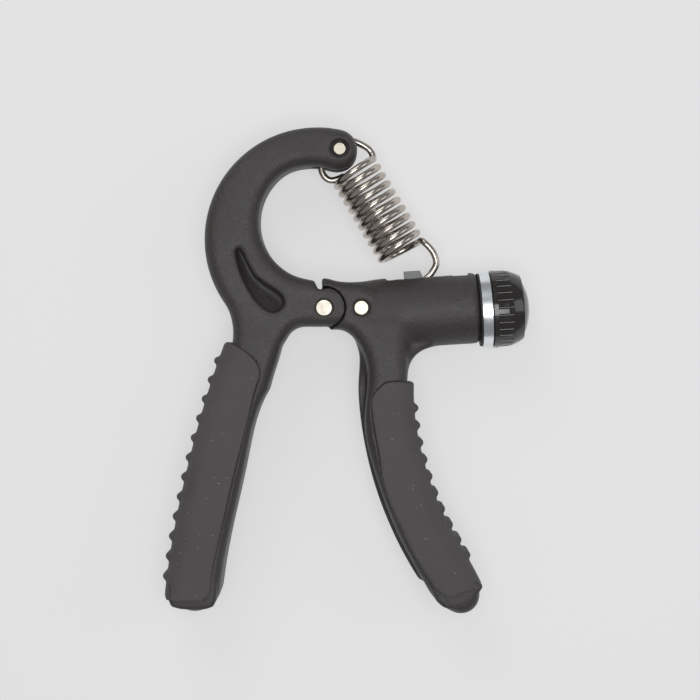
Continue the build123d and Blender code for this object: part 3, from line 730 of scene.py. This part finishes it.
class HANDGRIP_OT_spring(bpy.types.Operator):
    """Wind the spring: its top loop, coils and bottom hook, in two lengths"""

    bl_idname = "handgrip.spring"
    bl_label = "Spring"

    def execute(self, context):
        sizes = context.scene.hand_grip_sizes
        lean = radians(30.9)
        way = Vector((sin(lean), -cos(lean), 0))
        side = Vector((cos(lean), sin(lean), 0))
        top = from_pivot(9.75, 46.0)
        turns = 10
        step = 2 * pi / 40
        joined = 0.7  # angle at which the loop has become the coil
        upper_steps = 274
        lower_steps = 118
        cut = joined + step * upper_steps
        bend_steps = 8

        def coil(a):
            return top + way * sizes.pitch * a / (2 * pi) + (side * cos(a) + FRONT * sin(a)) * sizes.coil

        loop = [(6.4, 44.0), (4.4, 43.1), (2.5, 42.7), (0.8, 43.2), (-0.6, 44.9), (-1.1, 47.3)]
        loop += [(-0.7, 51.8), (1.5, 55.0), (5.1, 56.28), (9.1, 55.95)]
        loop += [(12.3, 54.7), (14.6, 53.2), (15.9, 51.5)]
        start = [from_pivot(*p) for p in loop] + [coil(0.12), coil(0.40), coil(joined)]
        upper = smooth_path(start, bend_steps)
        upper += [coil(joined + step * k) for k in range(1, upper_steps + 1)]

        # The last turn bends into the hook, and the hook into the eye round the slider's pin
        lower = [coil(cut + step * k) for k in range(lower_steps)]
        eye_centre = from_screw(36.4, 9.2)
        eye_radius = 3.6 * MM
        eye_turns = [radians(a) for a in range(180, 376, 28)]
        hook = [coil(2 * pi * turns - 0.45), coil(2 * pi * turns - 0.16)]
        hook += [from_pivot(33.35, 21.9, -0.1), from_pivot(35.1, 20.2), from_pivot(36.6, 17.9)]
        hook += [from_pivot(37.2, 14.8), from_pivot(35.5, 11.6), from_pivot(33.6, 9.6)]
        hook += [eye_centre + Vector((cos(a), sin(a), 0)) * eye_radius for a in eye_turns]
        hook += [from_pivot(39.5, 9.2, -0.4)]
        lower += smooth_path(hook, bend_steps)

        sides = 16
        for name, path, bodies, ends, nodes, stretched_turns in (
            ("spring_upper", upper, ("spring_top", "spring_middle"), (False, True),
             ["spring_top_loop", "spring_coil"], (0.0, 6.6)),
            ("spring_lower", lower, ("spring_middle", "spring_end"), (True, False),
             ["spring_hook"], (6.9, 10.0)),
        ):
            piece = new_piece(name, tube(path, sizes.wire, sides, ends), "spring_nickel", None, nodes)
            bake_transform(piece)
        return {"FINISHED"}


class HANDGRIP_OT_screw(bpy.types.Operator):
    """Cut the adjusting screw's thread"""

    bl_idname = "handgrip.screw"
    bl_label = "Adjusting screw"

    def execute(self, context):
        pitch = context.scene.hand_grip_sizes.thread / MM
        sides = 32
        build = bmesh.new()
        rings = []
        journal_radius, root_radius, thread_height = 2.0, 2.02, 0.46
        thread_start, thread_length = 21.7, 41.0
        step = 0.1 * pitch
        stations = [(along, journal_radius) for along in (17.25, 21.6)]
        stations += [(thread_start + step * k, None) for k in range(int(thread_length / step))]
        for along, plain in stations:
            ring = []
            for k in range(sides):
                a = 2 * pi * k / sides
                phase = (along / pitch - k / sides) % 1.0
                r = plain or root_radius + thread_height * (1 - abs(2 * phase - 1)) ** 0.8
                ring.append(build.verts.new(from_screw(along, r * cos(a), r * sin(a))))
            rings.append(ring)
        skin(build, rings)
        build.faces.new(rings[0])
        build.faces.new(rings[-1])
        bmesh.ops.recalc_face_normals(build, faces=build.faces)
        for f in build.faces:
            f.smooth = len(f.verts) == 4
        mesh = bpy.data.meshes.new("Screw thread")
        build.to_mesh(mesh)
        build.free()
        new_piece("threaded_screw", mesh, "screw_steel", "knob", ["adjusting_screw"])
        return {"FINISHED"}


class HANDGRIP_OT_hardware(bpy.types.Operator):
    """Give the rivets, pins, collar, knob, slider and other kept pieces their finishes"""

    bl_idname = "handgrip.hardware"
    bl_label = "Hardware finishes"

    def execute(self, context):
        for part in frame["record"]["subparts"]:
            kept = frame["nodes"][part["node"]]
            if kept.hide_render:
                continue
            for place in kept.material_slots:
                place.material = material(part["material_slot"])
        return {"FINISHED"}


class HANDGRIP_OT_stage(bpy.types.Operator):
    """Set the floor, soft light and camera"""

    bl_idname = "handgrip.stage"
    bl_label = "Studio"

    def execute(self, context):
        scene = context.scene
        half = 3
        corners = [(-half, -half, 0), (half, -half, 0), (half, half, 0), (-half, half, 0)]
        mesh = bpy.data.meshes.new("Floor")
        mesh.from_pydata(corners, [], [(0, 1, 2, 3)])
        floor = bpy.data.objects.new("studio_floor", mesh)
        scene.collection.objects.link(floor)
        floor.location.z = -0.0006
        m, _, s = finish("Studio floor")
        s.inputs["Base Color"].default_value = scene.hand_grip_colours.floor
        s.inputs["Roughness"].default_value = 0.9
        s.inputs["Specular IOR Level"].default_value = 0.1
        s.inputs["Emission Color"].default_value = (1, 1, 1, 1)
        s.inputs["Emission Strength"].default_value = 0.52
        mesh.materials.append(m)
        world = bpy.data.worlds.new("Studio")
        world.use_nodes = True
        backdrop = world.node_tree.nodes["Background"]
        backdrop.inputs["Color"].default_value = (1.0, 1.0, 1.0, 1)
        backdrop.inputs["Strength"].default_value = 0.26
        scene.world = world
        for name, place, size, power in (
            ("Key", (0.02, -0.05, 0.60), 0.32, 1.6),
            ("Top", (-0.25, 0.60, 0.55), 0.45, 1.5),
            ("Side", (0.60, 0.10, 0.40), 0.35, 0.5),
        ):
            lamp = bpy.data.lights.new(name, "AREA")
            lamp.shape = "SQUARE"
            lamp.size = size
            lamp.energy = power
            light = bpy.data.objects.new(name, lamp)
            light.location = place
            light.rotation_euler = (-light.location).to_track_quat("-Z", "Y").to_euler()
            scene.collection.objects.link(light)
        height, field = 527, 700 / 3  # millimetres
        eye = bpy.data.cameras.new("Camera")
        eye.sensor_width = 36
        eye.lens = eye.sensor_width * height / field
        camera = bpy.data.objects.new("Camera", eye)
        camera.location = from_pivot(8.5, -13.83, height)
        scene.collection.objects.link(camera)
        scene.camera = camera
        scene.view_settings.view_transform = "Standard"
        return {"FINISHED"}


OPERATORS = (
    HANDGRIP_OT_arm,
    HANDGRIP_OT_barrel,
    HANDGRIP_OT_grips,
    HANDGRIP_OT_spring,
    HANDGRIP_OT_screw,
    HANDGRIP_OT_hardware,
    HANDGRIP_OT_stage,
)


class HANDGRIP_PT_panel(bpy.types.Panel):
    """Lists the pieces that can be built"""

    bl_idname = "HANDGRIP_PT_panel"
    bl_label = "Hand grip strengthener"
    bl_space_type = "VIEW_3D"
    bl_region_type = "UI"
    bl_category = "Hand grip"

    def draw(self, context):
        for operator in OPERATORS:
            self.layout.operator(operator.bl_idname)
        for group in (context.scene.hand_grip_colours, context.scene.hand_grip_sizes):
            for name in group.bl_rna.properties.keys():
                if name not in ("rna_type", "name"):
                    self.layout.prop(group, name)


CLASSES = (HandGripColours, HandGripSizes, *OPERATORS, HANDGRIP_PT_panel)


def register():
    """Registers the classes and the two groups of settings."""
    for made in CLASSES:
        bpy.utils.register_class(made)
    bpy.types.Scene.hand_grip_colours = bpy.props.PointerProperty(type=HandGripColours)
    bpy.types.Scene.hand_grip_sizes = bpy.props.PointerProperty(type=HandGripSizes)


def unregister():
    """Takes away what register adds."""
    del bpy.types.Scene.hand_grip_colours
    del bpy.types.Scene.hand_grip_sizes
    for made in reversed(CLASSES):
        bpy.utils.unregister_class(made)


def main():
    """Builds every piece and the studio."""
    register()
    for operator in OPERATORS:
        area, name = operator.bl_idname.split(".")
        getattr(getattr(bpy.ops, area), name)()


if __name__ == "__main__":
    main()
